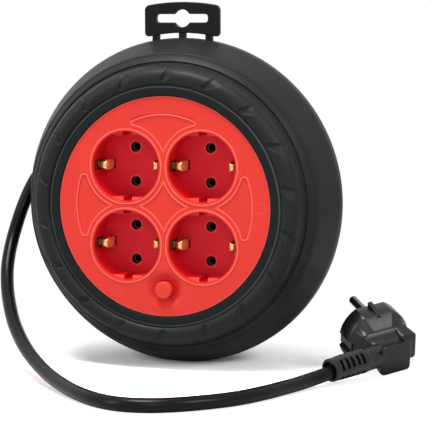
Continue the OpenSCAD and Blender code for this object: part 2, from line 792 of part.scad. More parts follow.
module reel_drum() color(black_plastic) in_place() difference() {
    union() {
        tube(core_r, core_r - core_wall, -flange_z, core_top_z);
        tube(flange_r, core_r - eps, flange_z - flange_t, flange_z);
        tube(flange_r, core_r - eps, -flange_z, -flange_z + flange_t);
        tube(core_r - core_wall + eps, hub_r + hub_fit, -flange_z, -flange_z + flange_t + 0.5);
        tube(hub_r + 3, hub_r + hub_fit, -flange_z, hub_top_z);
        at_angles([0, 120, 240], plate_screw_ring)
            disc(plate_pillar_r + 0.5, -flange_z, post_top_z);
        // pad under the cable clamp
        block([-clamp_x - 6, -clamp_x + 6], [-10, 10], [-flange_z + 1, tail_z - cord_r]);
    }
    at_angles([0, 120, 240], plate_screw_ring) {
        disc(screw_r, -flange_z, post_top_z + 1);
        disc(counterbore_r, -flange_z - 1, plate_head_z);
    }
    // hole through which the cable enters the core
    translate([-core_r - 2, 0, tail_z]) rotate([0, 90, 0])
        cylinder(r = cord_r + bush_gap, h = core_wall + 4);
    clamp_holes();
}

module clamp_holes() for (s = [-1, 1])
    translate([-clamp_x, s * clamp_pitch / 2, -flange_z]) cylinder(r = clamp_screw_r, h = 20);

module plate_screws() color(steel) in_place() at_angles([0, 120, 240], plate_screw_ring)
    translate([0, 0, plate_head_z]) screw(post_top_z + plate_thread - plate_head_z);

module hub_washer() color(steel) in_place()
    tube(hub_r + 4, screw_r, hub_top_z + hub_play, hub_top_z + hub_play + 1.2);

module hub_screw() color(steel) in_place()
    translate([0, 0, hub_top_z + hub_play + 1.2]) rotate([180, 0, 0]) screw(12);

module cable_winding() color(black_plastic) in_place() {
    tube(winding_out_r, core_r, -winding_z, winding_z);
    // inner end, through the core into the clamp
    translate([-core_r - 4, 0, tail_z]) rotate([0, 90, 0])
        cylinder(r = cord_r, h = core_r + 4 - tail_end);
}

module cable_clamp() color(black_plastic) in_place() difference() {
    block([-clamp_x - clamp_w / 2, -clamp_x + clamp_w / 2], [-clamp_l / 2, clamp_l / 2],
          [tail_z - cord_r, tail_z + cord_r + clamp_t]);
    translate([-clamp_x - clamp_w, 0, tail_z]) rotate([0, 90, 0])
        cylinder(r = cord_r, h = 2 * clamp_w);
    block([-clamp_x - clamp_w, -clamp_x + clamp_w], [-cord_r, cord_r],
          [tail_z - cord_r - 1, tail_z]);
    clamp_holes();
}

module clamp_screws() color(steel) in_place() for (s = [-1, 1])
    translate([-clamp_x, s * clamp_pitch / 2, tail_z + cord_r + clamp_t]) {
        cylinder(r = screw_head_r - 0.3, h = 1.6);
        translate([0, 0, -clamp_screw_l]) cylinder(r = clamp_screw_r, h = clamp_screw_l);
    }

// ---------- contacts ----------

module tulip(z) tube(tulip_r, tulip_bore_r, z, tulip_top_z);

// Two rows of contacts at z, joined by a link at x
module contact_bar(rows, z, link_x) difference() {
    union() {
        for (y = rows) {
            block([-half_pitch - 9.5, half_pitch + 9.5], [y - 3, y + 3], [z, z + strip_t]);
            for (s = [-1, 1]) translate([s * half_pitch, y, 0]) tulip(z);
        }
        block([link_x - 2.5, link_x + 2.5], [min(rows) - 3, max(rows) + 3], [z, z + strip_t]);
    }
    for (y = rows, s = [-1, 1]) translate([s * half_pitch, y, 0])
        disc(tulip_bore_r, z - 1, tulip_top_z + 1);
}

module live_bar() color(brass) in_place() {
    contact_bar([half_pitch + pin_pitch / 2, -half_pitch + pin_pitch / 2],
                live_z, half_pitch + 7);
    // tongue to the cut-out
    block([-3, 3], [-button_y - 6, -half_pitch + pin_pitch / 2], [live_z, live_z + strip_t]);
}

module neutral_bar() color(brass) in_place()
    contact_bar([half_pitch - pin_pitch / 2, -half_pitch - pin_pitch / 2],
                neutral_z, -half_pitch - 7);

// One clip: a strip that stands on its foot, leans into the well and hooks into its wall
module earth_clip() rotate([90, 0, 0]) translate([0, 0, -clip_w / 2])
    linear_extrude(height = clip_w) polygon(concat(
        [[clip_line[0][0] + strip_t / 2, earth_z - well_floor_z]],
        [for (p = clip_line) p + [strip_t / 2, strip_t / 4]],
        [for (i = [len(clip_line) - 1:-1:0]) clip_line[i] - [strip_t / 2, strip_t / 2]],
        [[clip_line[0][0] - strip_t / 2, earth_z - well_floor_z]]));

module earth_bar() color(brass) in_place() {
    difference() {
        union() {
            for (y = [-half_pitch, half_pitch])
                block([-half_pitch - 19, half_pitch + 16], [y - 3, y + 3],
                      [earth_z, earth_z + strip_t]);
            block([-3, 3], [-half_pitch, half_pitch], [earth_z, earth_z + strip_t]);
            disc(8, earth_z, earth_z + strip_t);
        }
        disc(4.3, earth_z - 1, earth_z + 2);
    }
    for (c = centres) translate([c[0], c[1], well_floor_z]) {
        translate([-well_r, 0, 0]) earth_clip();
        scale([-1, 1, 1]) translate([-well_r, 0, 0]) earth_clip();
    }
}

module thermal_cutout() color(black_plastic) in_place() button_here() difference() {
    block([-cutout_w / 2, cutout_w / 2], [-10, cutout_h - 10], [cutout_back_z, cutout_top_z]);
    disc(plunger_r + 0.3, cutout_top_z - plunger_in - button_travel - 1, cutout_top_z + 1);
}

module reset_button() color(red_plastic) in_place() button_here() {
    disc(button_r, sleeve_z - 1, plate_z + button_out - 0.6);
    translate([0, 0, plate_z + button_out - 0.6])
        cylinder(r1 = button_r, r2 = button_r - 0.6, h = 0.6);
    disc(collar_r, collar_z, collar_z + collar_t);
    disc(plunger_r, cutout_top_z - plunger_in, collar_z);
}

// Each lead leaves the cable's end straight, at its own angle, and drops to its height
core_off = cord_r / 2;
turn_x = -tail_end + lead_turn;
lead_z = 0;
earth_lead_z = 2.5;
function lead_from(a) = [for (d = [0, lead_start])
    [-tail_end + d, core_off * cos(a), tail_z + core_off * sin(a)]];

lead_live_line = concat(lead_from(30), [
    [turn_x, 2.3, tail_z + lead_turn - 1], [turn_x, 2.3, lead_z],
    [-tail_end - 2, -3, lead_z], [-tail_end + 2, -tail_end + 2, lead_z],
    [-cutout_w / 2 + 2, -button_y - 4.5, lead_z],
    [-cutout_w / 2 + 2, -button_y - 4.5, cutout_back_z]
]);
lead_neutral_line = concat(lead_from(270), [
    [-half_pitch - 8, 0, tail_z + 2], [-half_pitch - 8, 0, neutral_z]
]);
lead_earth_line = concat(lead_from(150), [
    [turn_x, -2.3, tail_z + lead_turn - 1], [turn_x, -2.3, earth_lead_z],
    [-tail_end, -half_pitch, earth_lead_z], [-tail_end, -half_pitch, earth_z]
]);

module lead_live() color("saddlebrown") in_place() swept_tube(lead_live_line, lead_r, 8);
module lead_neutral() color("royalblue") in_place()
    swept_tube(lead_neutral_line, lead_r, 8);
module lead_earth() color("yellowgreen") in_place() swept_tube(lead_earth_line, lead_r, 8);

module contact_cover() color(black_plastic) in_place() difference() {
    disc(plate_screw_ring - plate_pillar_r - 0.5, cover_z, cover_z + cover_t);
    disc(screw_r, cover_z - 1, cover_z + cover_t + 1);
    // hole for the leads
    translate([-tail_end + 6, 0, 0]) disc(5, cover_z - 1, cover_z + cover_t + 1);
}

module cover_screw() color(steel) in_place()
    translate([0, 0, cover_z]) screw(cover_t + 8);

front_shell();
rear_shell();
hang_tab();
shell_screws();
cable_bush();
cord_free();
plug_body();
plug_face();
plug_pins();
plug_earth_strips();
plug_bend_relief();
socket_plate();
reel_drum();
plate_screws();
hub_washer();
hub_screw();
live_bar();
neutral_bar();
earth_bar();
thermal_cutout();
cable_clamp();
clamp_screws();
cable_winding();
lead_live();
lead_neutral();
lead_earth();
contact_cover();
cover_screw();
reset_button();
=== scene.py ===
import math
import bmesh
import bpy
from mathutils import Matrix, Vector


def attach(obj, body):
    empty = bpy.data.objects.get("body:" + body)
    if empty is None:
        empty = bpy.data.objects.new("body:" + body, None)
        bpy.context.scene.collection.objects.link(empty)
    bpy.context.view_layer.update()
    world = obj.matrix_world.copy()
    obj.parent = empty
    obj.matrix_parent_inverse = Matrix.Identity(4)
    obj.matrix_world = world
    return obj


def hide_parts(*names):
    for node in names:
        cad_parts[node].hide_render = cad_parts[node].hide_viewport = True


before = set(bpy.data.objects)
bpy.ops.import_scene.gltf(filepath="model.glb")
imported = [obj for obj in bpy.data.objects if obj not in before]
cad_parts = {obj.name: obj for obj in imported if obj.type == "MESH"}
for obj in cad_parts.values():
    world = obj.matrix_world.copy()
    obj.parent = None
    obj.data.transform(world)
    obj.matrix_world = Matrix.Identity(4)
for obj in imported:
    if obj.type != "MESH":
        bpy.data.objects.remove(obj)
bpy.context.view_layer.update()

# ---------------------------------------------------------------- camera and studio
# A product table: one long lens a little above the plate's axis and to its right, a
# pale sweep of floor, and four soft boxes. The floor keeps the reel's shadow.
lens_at = Vector((0.3276, -1.0206, 0.1966))
lens_turn = math.radians(-0.23)
level = Vector((0.957, 0.290, 0.0)).normalized()
behind = Vector((0.288, -0.952, 0.105)).normalized()
upward = behind.cross(level).normalized()
level = upward.cross(behind).normalized()
right = math.cos(lens_turn) * level + math.sin(lens_turn) * upward
above = -math.sin(lens_turn) * level + math.cos(lens_turn) * upward

lens = bpy.data.cameras.new("camera")
lens.lens = 160.4
lens.sensor_width = 36
lens.clip_start = 0.01
camera = bpy.data.objects.new("camera", lens)
bpy.context.scene.collection.objects.link(camera)
lens_frame = Matrix((right, above, behind)).transposed().to_4x4()
camera.matrix_world = Matrix.Translation(lens_at) @ lens_frame
bpy.context.scene.camera = camera
bpy.context.scene.view_settings.view_transform = "Standard"


class Wire:
    """One output of a shader node, so that a finish is written as plain arithmetic."""

    def __init__(self, tree, socket=None):
        self.tree, self.socket = tree, socket

    def add(self, kind, settings=None, sockets=None, out=0):
        """A new node: its settings first, then the values or wires of its sockets."""
        node = self.tree.nodes.new(kind)
        for name, value in (settings or {}).items():
            setattr(node, name, value)
        for name, value in (sockets or {}).items():
            if isinstance(value, Wire):
                self.tree.links.new(value.socket, node.inputs[name])
            else:
                node.inputs[name].default_value = value
        return Wire(self.tree, node.outputs[out])

    def maths(self, work, a, b=0.0):
        return self.add("ShaderNodeMath", {"operation": work}, {0: a, 1: b})

    def __add__(self, other):
        return self.maths("ADD", self, other)

    def __radd__(self, other):
        return self.maths("ADD", other, self)

    def __sub__(self, other):
        return self.maths("SUBTRACT", self, other)

    def __rsub__(self, other):
        return self.maths("SUBTRACT", other, self)

    def __mul__(self, other):
        return self.maths("MULTIPLY", self, other)

    def __rmul__(self, other):
        return self.maths("MULTIPLY", other, self)

    def size(self):
        """The value without its sign."""
        return self.maths("ABSOLUTE", self)

    def over(self, other):
        """Length of the two values taken as the sides of a right angle."""
        return self.maths("SQRT", self * self + other * other)

    def held(self):
        """The value kept from 0 to 1."""
        return self.add("ShaderNodeClamp", None, {0: self})

    def steps(self, low, high):
        """0 below low, 1 above high, smooth between them."""
        return self.add("ShaderNodeMapRange", {"interpolation_type": "SMOOTHSTEP"},
                        {0: self, 1: low, 2: high})

    def band(self, low, high):
        """1 between low and high, 0 outside them."""
        soft = (high - low) / 8
        return self.steps(low - soft, low) * (1 - self.steps(high, high + soft))

    def blend(self, first, second):
        """The first colour where the wire is 0, the second where it is 1."""
        return self.add("ShaderNodeMix", {"data_type": "RGBA"},
                        {0: self, 6: first, 7: second}, out=2)

    def grain(self, size, detail=3.0):
        """Noise whose lumps are about that size in metres, from 0 to 1."""
        return self.add("ShaderNodeTexNoise", None,
                        {"Vector": self, "Scale": 1 / size, "Detail": detail})

    def to(self, node, name):
        self.tree.links.new(self.socket, node.inputs[name])


room_light = 0.25
world = bpy.data.worlds.new("studio")
bpy.context.scene.world = world
world.use_nodes = True
sky = world.node_tree.nodes["Background"]
air = Wire(world.node_tree)
seen = (air.add("ShaderNodeLightPath", out="Is Camera Ray")
        + air.add("ShaderNodeLightPath", out="Is Glossy Ray")
        + air.add("ShaderNodeLightPath", out="Is Transmission Ray")).held()
(seen * (1 - room_light) + room_light).to(sky, "Strength")
sky.inputs["Color"].default_value = (1, 1, 1, 1)

floor_half, floor_drop = 40, 0.0002
floor_grey, floor_seen = (0.75, 0.75, 0.75, 1), (2.0, 2.0, 2.0, 1)
shadow_middle, shadow_full, shadow_end = (0, -0.03, 0), 0.045, 0.13
floor_mesh = bpy.data.meshes.new("floor")
floor_mesh.from_pydata([(x * floor_half, y * floor_half, -floor_drop)
                        for x, y in ((-1, -1), (1, -1), (1, 1), (-1, 1))],
                       [], [(0, 1, 2, 3)])
floor = bpy.data.objects.new("floor", floor_mesh)
bpy.context.scene.collection.objects.link(floor)
floor_paint = bpy.data.materials.new("floor")
floor_paint.use_nodes = True
floor_tree = floor_paint.node_tree
floor_tree.nodes.clear()
ground = Wire(floor_tree)
lit = ground.add("ShaderNodeLightPath", out="Is Camera Ray")
matt = ground.add("ShaderNodeBsdfDiffuse", None,
                  {"Color": lit.blend(floor_grey, floor_seen)})
spot = ground.add("ShaderNodeTexCoord", out="Object")
far_off = spot.add("ShaderNodeVectorMath", {"operation": "DISTANCE"},
                   {0: spot, 1: shadow_middle}, out=1).steps(shadow_full, shadow_end)
white = ground.add("ShaderNodeEmission", None, {"Color": (1, 1, 1, 1), "Strength": 1.0})
sweep = ground.add("ShaderNodeMixShader", None, {0: far_off * lit, 1: matt, 2: white})
sweep.to(floor_tree.nodes.new("ShaderNodeOutputMaterial"), "Surface")
floor_mesh.materials.append(floor_paint)


def soft_box(name, at, aim, size, power):
    lamp = bpy.data.lights.new(name, "AREA")
    lamp.shape = "RECTANGLE"
    lamp.size, lamp.size_y = size
    lamp.energy = power
    box = bpy.data.objects.new(name, lamp)
    box.location = at
    box.rotation_euler = (Vector(aim) - Vector(at)).to_track_quat("-Z", "Y").to_euler()
    bpy.context.scene.collection.objects.link(box)


soft_box("top_box", (-0.12, -0.35, 1.3), (0, 0, 0.1), (0.6, 0.5), 19)
soft_box("right_box", (0.93, -0.52, 0.72), (0.08, 0, 0.06), (0.36, 0.36), 4)
soft_box("left_box", (-1.1, -0.9, 0.6), (0, 0, 0.09), (0.5, 0.9), 5.5)
soft_box("front_box", (0.5, -1.6, 0.7), (0, 0, 0.09), (0.6, 0.6), 3.6)

# ---------------------------------------------------------------- cord
# Round mains lead with a soft black sheath over three stranded cores. It leaves the
# housing's back through its bush, drops in one stiff curve to the floor, and runs
# round the front to the plug.
cord_across, cord_sides, steps_per_span = 0.0075, 28, 8
cord_points = [Vector(p) / 1000 for p in (
    (-56.7, 17.5, 143.8), (-72.5, 18.75, 127.2), (-88.3, 20, 110.6), (-94.4, 20.2, 102.2),
    (-99.6, 19.4, 93.8), (-104.4, 15.2, 80), (-106.4, 6.2, 64), (-105, -4, 52.5),
    (-101.5, -14, 43), (-95, -27, 33.2), (-84, -45, 22.5), (-67.5, -67.5, 13.2),
    (-48, -91, 7.2), (-28.5, -113, 4.6), (-13, -129, 4), (0, -139, 3.8),
    (13, -144.5, 3.8), (27, -144, 3.8), (41.5, -137.2, 3.8), (55.7, -125.3, 3.8),
    (65.5, -113.6, 3.8), (73.9, -97.7, 3.8), (79.1, -84.7, 3.8), (83.8, -72.8, 3.9),
    (88.2, -63.2, 4.5), (92.8, -55.9, 5.5), (97.7, -48.6, 6.9))]


def run_through(points, per_span):
    """A smooth line through the points, by the Catmull-Rom rule."""
    ends = [2 * points[0] - points[1]] + points + [2 * points[-1] - points[-2]]
    line = []
    for a, b, c, d in zip(ends, ends[1:], ends[2:], ends[3:]):
        for k in range(per_span):
            t = k / per_span
            line.append(0.5 * (2 * b + (c - a) * t + (2 * a - 5 * b + 4 * c - d) * t * t
                               + (3 * b - a - 3 * c + d) * t ** 3))
    return line + [points[-1]]


def skin(rings, closed=False):
    """Corners and faces over rings of equal count: a loop if closed, else with ends."""
    count, corners = len(rings[0]), [corner for ring in rings for corner in ring]
    total, faces = len(corners), []
    for a in range(0, total if closed else total - count, count):
        b = (a + count) % total
        faces += [(a + k, a + (k + 1) % count, b + (k + 1) % count, b + k)
                  for k in range(count)]
    if not closed:
        faces += [tuple(reversed(range(count))), tuple(range(total - count, total))]
    return corners, faces


def swept(line, ring):
    """A skin whose ring of sideways offsets is carried along the line."""
    rings, side = [], Vector((0, 0, 1))
    for i, p in enumerate(line):
        way = (line[min(i + 1, len(line) - 1)] - line[max(i - 1, 0)]).normalized()
        side = (side - side.dot(way) * way).normalized()
        other = way.cross(side)
        rings.append([p + u * side + v * other for u, v in ring])
    return skin(rings)


def new_piece(name, corners, faces):
    mesh = bpy.data.meshes.new(name)
    mesh.from_pydata([tuple(c) for c in corners], [], faces)
    mesh.validate()
    mesh.polygons.foreach_set("use_smooth", [True] * len(mesh.polygons))
    piece = bpy.data.objects.new(name, mesh)
    bpy.context.scene.collection.objects.link(piece)
    return piece


cord_line = run_through(cord_points, steps_per_span)
cord_ring = [(math.cos(math.tau * k / cord_sides) * cord_across / 2,
              math.sin(math.tau * k / cord_sides) * cord_across / 2)
             for k in range(cord_sides)]
cord = new_piece("cord", *swept(cord_line, cord_ring))


def new_finish(name, roughness, specular):
    """A material, its shader, and the place on the piece that its pattern follows."""
    finish = bpy.data.materials.new(name)
    finish.use_nodes = True
    shader = finish.node_tree.nodes["Principled BSDF"]
    shader.inputs["Roughness"].default_value = roughness
    shader.inputs["Specular IOR Level"].default_value = specular
    place = Wire(finish.node_tree).add("ShaderNodeTexCoord", out="Object")
    return finish, shader, place


def rough_up(shader, height, strength, distance):
    height.add("ShaderNodeBump", None, {"Strength": strength, "Distance": distance,
                                        "Height": height}).to(shader, "Normal")


cord_black, shader, place = new_finish("cord_black", 0.26, 0.14)
place.grain(0.02, 2.0).blend(
    (0.0015, 0.0015, 0.002, 1), (0.004, 0.004, 0.0045, 1)).to(shader, "Base Color")
(0.22 + place.grain(0.004) * 0.06).to(shader, "Roughness")
rough_up(shader, place.grain(0.0008, 4.0), 0.25, 0.00004)
cord.data.materials.append(cord_black)
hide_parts("cord_free")
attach(cord, "housing")

# ---------------------------------------------------------------- front shell
# The front half of the housing: one moulding in black polypropylene, a flat lip, a tyre
# bulge with 18 leaning tongue-shaped recesses, a groove and a stepped band. Four screws
# from behind hold it on the rear shell.
axle_h, shell_sides = 90.0, 900
opening_r, lip_r, lip_z = 60.3, 64.7, 36.9
dip_r, dip_z, crest_r, crest_z = 66.0, 35.9, 69.8, 38.4
shoulder_r, shoulder_z = 76.4, 30.0
seam_z, band_r = 22.0, 82.8


def arc(middle, across, up, first, last, count):
    """Points on part of an ellipse, in degrees."""
    turns = [math.radians(first + (last - first) * k / count) for k in range(count + 1)]
    return [(middle[0] + across * math.cos(turn), middle[1] + up * math.sin(turn))
            for turn in turns]


def softened(points, reach):
    """The same outline with each corner cut back by at most that reach and rounded."""
    line = [Vector(points[0])]
    for a, b, c in zip(points, points[1:], points[2:]):
        a, b, c = Vector(a), Vector(b), Vector(c)
        cut = min(reach, (a - b).length * 0.45, (c - b).length * 0.45)
        first, last = b + (a - b).normalized() * cut, b + (c - b).normalized() * cut
        line += [first * (1 - t) ** 2 + b * 2 * t * (1 - t) + last * t * t
                 for t in (0, 1 / 3, 2 / 3, 1)]
    return line + [Vector(points[-1])]


def from_axle(x, y, z):
    """A point in mm to the right, up and forward of the axle, in the row's metres."""
    return x / 1000, -z / 1000, (axle_h + y) / 1000


def turned(outline, sides, sunk):
    """A closed outline of radius and height, in mm, turned round the drum's axis."""
    rings = []
    for k in range(sides):
        turn = math.tau * k / sides
        ring = [sunk(r, z, turn) for r, z in outline]
        rings.append([from_axle(r * math.cos(turn), r * math.sin(turn), z)
                      for r, z in ring])
    return skin(rings, closed=True)


def eased(x, low, high):
    """0 below low, 1 above high, smooth between them."""
    t = min(max((x - low) / (high - low), 0), 1)
    return t * t * (3 - 2 * t)


# Each lug is a tongue that starts at lug_tip_r, leans out along the bulge, grows wider
# and runs out flat.
lug_count, first_lug, lug_lag, lug_lean = 18, 10, 6, math.radians(44)
lug_tip_r, lug_depth, lug_half, lug_widen, lug_side = 68.4, 1.6, 1.45, 0.2, 0.45
lug_full, lug_flat, lug_fade, lug_tilt = 1, 9.5, 0.85, 0.3
lugs_from_r, lugs_to_r, lugs_from_z = 65.6, 76.5, 29


def lug_sink(r, z, turn):
    """Where a lug lies, the bulge is pressed in along its own normal."""
    if not (lugs_from_r < r < lugs_to_r and z > lugs_from_z):
        return r, z
    apart = 360 / lug_count
    near = first_lug + apart * round((math.degrees(turn) + lug_lag - first_lug) / apart)
    sink = 0.0
    for middle in (near - apart, near, near + apart):
        x = r * math.cos(turn - math.radians(middle)) - lug_tip_r
        y = r * math.sin(turn - math.radians(middle))
        u = x * math.cos(lug_lean) - y * math.sin(lug_lean)
        v = x * math.sin(lug_lean) + y * math.cos(lug_lean)
        half = lug_half + max(u, 0) * lug_widen
        inside = half - (abs(v) if u > 0 else math.hypot(u, v))
        tilt = 1 - lug_tilt + lug_tilt * max(min(v / half, 1), -1)
        sink = max(sink, lug_depth * eased(inside, 0, lug_side) * tilt
                   * (1 - lug_fade * eased(u, lug_full, lug_flat)))
    foot_r, foot_z = (dip_r, dip_z) if r < crest_r else (shoulder_r, shoulder_z)
    normal = Vector(((r - crest_r) / (foot_r - crest_r) ** 2,
                     (z - foot_z) / (crest_z - foot_z) ** 2)).normalized()
    return r - sink * normal[0], z - sink * normal[1]


lip = softened([(opening_r, 34.2), (opening_r, lip_z), (lip_r, lip_z), (65.2, 36.1),
                (dip_r, dip_z)], 0.35)
bulge = (arc((crest_r, dip_z), crest_r - dip_r, crest_z - dip_z, 180, 90, 14)
         + arc((crest_r, shoulder_z), shoulder_r - crest_r, crest_z - shoulder_z,
               86, 0, 26))
band = softened([(76.5, 29.5), (77.6, 26.7), (78.6, 27.3), (81.3, 24.2), (81.5, 23.1),
                 (82.6, 23.0), (band_r, seam_z)], 0.45)
shell_inside = ([(80.2, seam_z), (75.6, 24.9)]
                + arc((crest_r, shoulder_z), 4.1, 5.9, 0, 90, 6) + [(67.2, 33.2)])
front_shell = new_piece("front_shell_moulding",
                        *turned([tuple(p) for p in lip[:-1] + bulge + band + shell_inside],
                                shell_sides, lug_sink))


def off_axis(place):
    """Distance from the drum's axis."""
    flat = place.add("ShaderNodeVectorMath", {"operation": "MULTIPLY"},
                     {0: place, 1: (1, 0, 1)})
    return flat.add("ShaderNodeVectorMath", {"operation": "DISTANCE"},
                    {0: flat, 1: (0, 0, axle_h / 1000)}, out=1)


def reading(place, axis):
    """One coordinate of the place, by its number."""
    return place.add("ShaderNodeSeparateXYZ", None, {0: place}, out=axis)


# Painted shade and highlight: the flat ring inside the lip gets the darker tone as shade,
# and the bulge and the rear get the lighter one. A thin ring at the lip's outer edge is a
# painted highlight.
lip_shade_r, bright_r = 0.0648, 0.0654
housing_black, shader, place = new_finish("housing_black", 0.42, 0.15)
radius, behind_crown = off_axis(place), reading(place, 1).steps(-0.01, 0)
beyond_lip = (radius.steps(lip_shade_r, lip_shade_r + 0.0008) + behind_crown).held()
lip_highlight = radius.band(lip_shade_r, bright_r) * (1 - behind_crown)
mottle = place.grain(0.03, 2.0)
tone = beyond_lip.blend(
    mottle.blend((0.004, 0.0066, 0.0072, 1), (0.0054, 0.0082, 0.0088, 1)),
    mottle.blend((0.008, 0.0088, 0.0092, 1), (0.015, 0.0158, 0.0164, 1)))
(lip_highlight * 0.8).blend(tone, (0.12, 0.125, 0.13, 1)).to(shader, "Base Color")
(0.38 + place.grain(0.006) * 0.12).to(shader, "Roughness")
rough_up(shader, place.grain(0.0012, 4.0), 0.5, 0.00016)
front_shell.data.materials.append(housing_black)
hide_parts("front_shell")
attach(front_shell, "housing")

# ---------------------------------------------------------------- rear shell and hang tab
# The rear bowl with its hub pin, pillars and cable outlet, and the tab on three thin
# webs: one moulding in black polypropylene. A soft bush holds the cord in the outlet.


def paint(names, finish):
    for name in names:
        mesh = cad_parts[name].data
        mesh.materials.clear()
        mesh.materials.append(finish)


def ease(names, width):
    """Moulded edges: flat faces joined, edges rounded, curves smooth."""
    for name in names:
        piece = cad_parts[name]
        weld = piece.modifiers.new("weld", "WELD")
        weld.merge_threshold = 0.00001
        flats = piece.modifiers.new("flats", "DECIMATE")
        flats.decimate_type = "DISSOLVE"
        flats.angle_limit = math.radians(0.6)
        edge = piece.modifiers.new("edge", "BEVEL")
        edge.width, edge.segments = width, 2
        edge.limit_method, edge.angle_limit = "ANGLE", math.radians(35)
        piece.data.polygons.foreach_set("use_smooth", [True] * len(piece.data.polygons))
        piece.modifiers.new("even", "WEIGHTED_NORMAL")


paint(["rear_shell", "cable_bush"], housing_black)
ease(["rear_shell"], 0.0004)

tab_black, shader, place = new_finish("tab_black", 0.38, 0.12)
place.grain(0.02, 2.0).blend(
    (0.004, 0.004, 0.0045, 1), (0.009, 0.009, 0.01, 1)).to(shader, "Base Color")
(0.34 + place.grain(0.004) * 0.12).to(shader, "Roughness")
rough_up(shader, place.grain(0.0008, 4.0), 0.3, 0.00005)

housing_r, tab_low, tab_high = 90.7, 93.4, 110.5
tab_half, tab_thick, tab_edge = 21.6, 4.0, 0.6
top_corner, foot_corner = 3, 2.2
slot_half, slot_half_h, slot_corner, eye_r = 15, 2.3, 1.6, 4.9
web_places = (("tab_web_left", -15.4), ("tab_web_middle", 0), ("tab_web_right", 15.4))
web_half, web_thick, web_root, web_top, web_edge = 1.9, 3.4, 1, 3.4, 0.3


def corner(middle, radius, first, last):
    return arc(middle, radius, radius, first, last, 6)


def mirrored(half):
    """A right-hand half from top to bottom, and its mirror image back to the top."""
    return half + [(-x, y) for x, y in reversed(half)]


def corner_turn(radius, across):
    return math.degrees(math.acos(across / radius))


top_turn = corner_turn(tab_high - top_corner, tab_half - top_corner)
foot_turn = corner_turn(tab_low + foot_corner, tab_half - foot_corner)
tab_top = (tab_half - top_corner,
           (tab_high - top_corner) * math.sin(math.radians(top_turn)))
tab_foot = (tab_half - foot_corner,
            (tab_low + foot_corner) * math.sin(math.radians(foot_turn)))
tab_right = (arc((0, 0), tab_high, tab_high, 90, top_turn, 14)[:-1]
             + corner(tab_top, top_corner, top_turn, 0)
             + corner(tab_foot, foot_corner, 0, foot_turn - 180)
             + arc((0, 0), tab_low, tab_low, foot_turn, 90, 14)[1:])
eye_turn = math.degrees(math.asin(slot_half_h / eye_r))
slot_y = (tab_low + tab_high) / 2 - 0.5
end_x, end_y = slot_half - slot_corner, slot_half_h - slot_corner
slot_right = (arc((0, slot_y), eye_r, eye_r, 90, eye_turn, 8)
              + arc((end_x, slot_y + end_y), slot_corner, slot_corner, 90, 0, 5)
              + arc((end_x, slot_y - end_y), slot_corner, slot_corner, 0, -90, 5)
              + arc((0, slot_y), eye_r, eye_r, -eye_turn, -90, 8))


def cut_plate(name, outer, holes, thick, soft):
    """A flat plate with holes in the drum's plane, its edges rounded."""
    build = bmesh.new()
    loops = []
    for outline in [outer] + holes:
        corners = [build.verts.new(from_axle(x, y, thick / 2)) for x, y in outline]
        loops += [build.edges.new((corners[i - 1], corners[i]))
                  for i in range(len(corners))]
    bmesh.ops.triangle_fill(build, use_beauty=True, edges=loops)
    bmesh.ops.dissolve_limit(build, angle_limit=0.01, verts=build.verts,
                             edges=build.edges)
    pushed = bmesh.ops.extrude_face_region(build, geom=list(build.faces))["geom"]
    bmesh.ops.translate(build, vec=(0, thick / 1000, 0),
                        verts=[v for v in pushed if isinstance(v, bmesh.types.BMVert)])
    bmesh.ops.recalc_face_normals(build, faces=build.faces)
    mesh = bpy.data.meshes.new(name)
    build.to_mesh(mesh)
    build.free()
    piece = bpy.data.objects.new(name, mesh)
    bpy.context.scene.collection.objects.link(piece)
    rounding = piece.modifiers.new("edge", "BEVEL")
    rounding.width, rounding.segments = soft / 1000, 3
    rounding.limit_method, rounding.angle_limit = "ANGLE", math.radians(50)
    mesh.polygons.foreach_set("use_smooth", [True] * len(mesh.polygons))
    piece.modifiers.new("even", "WEIGHTED_NORMAL")
    return piece


def clean(outline):
    """The outline without points that lie on each other."""
    return [p for i, p in enumerate(outline)
            if (Vector(p) - Vector(outline[i - 1])).length > 0.05]


def on_housing(piece):
    piece.data.materials.append(tab_black)
    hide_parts("hang_tab")
    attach(piece, "housing")


on_housing(cut_plate("hang_tab_moulding", clean(mirrored(tab_right)),
                     [clean(mirrored(slot_right))], tab_thick, tab_edge))
for name, x in web_places:
    crown = math.sqrt(housing_r ** 2 - x ** 2)
    on_housing(cut_plate(name, [(x - web_half, crown - web_root),
                                (x - web_half, crown + web_top),
                                (x + web_half, crown + web_top),
                                (x + web_half, crown - web_root)],
                         [], web_thick, web_edge))

# ---------------------------------------------------------------- plug and bend relief
# Soft black PVC moulded round the pins and the cord's end: a round front, a loft that
# narrows to a square grip, and a slotted sleeve that lets the cord bend gently.
plug_black, shader, place = new_finish("plug_black", 0.3, 0.34)
place.grain(0.01, 3.0).blend(
    (0.002, 0.002, 0.0025, 1), (0.007, 0.007, 0.0075, 1)).to(shader, "Base Color")
(0.25 + place.grain(0.003) * 0.12).to(shader, "Roughness")
rough_up(shader, place.grain(0.0012, 3.0), 0.3, 0.00006)
paint(["plug_face"], plug_black)

# In the plug's own frame the pins point along z, and the cord comes in from -x.
plug_at = Vector((104.85, 2.81, 20.93))
plug_turn = (Matrix.Rotation(math.radians(39.21), 3, "Z")
             @ Matrix.Rotation(math.radians(-9.96), 3, "Y")
             @ Matrix.Rotation(math.radians(21.54 - 90), 3, "X"))
plug_sides = 144
disc_r, disc_flat, groove_r, groove_half = 18.4, 16.3, 15.5, 3.4
fin_x = (-1.2, 1.1)
fin_line = ((15, -1), (18.8, -1), (18.6, -3.5), (16.0, -12.2), (15, -12.2))
scoop_r, scoop_mid, scoop_z = 10, 17, -25
grip_x, grip_y, grip_root, grip_round = (-9.5, 9.4), (-10.6, 8.1), 3.6, 0.5
ear_x, ear_y, ear_grow, ear_foot, ear_head = (6, 13.3), 10.3, 2.2, 1.3, 3.6


def from_plug(x, y, z):
    """A point in mm in the plug's own frame, in the row's metres."""
    return (plug_at + plug_turn @ Vector((x, y, z))) / 1000


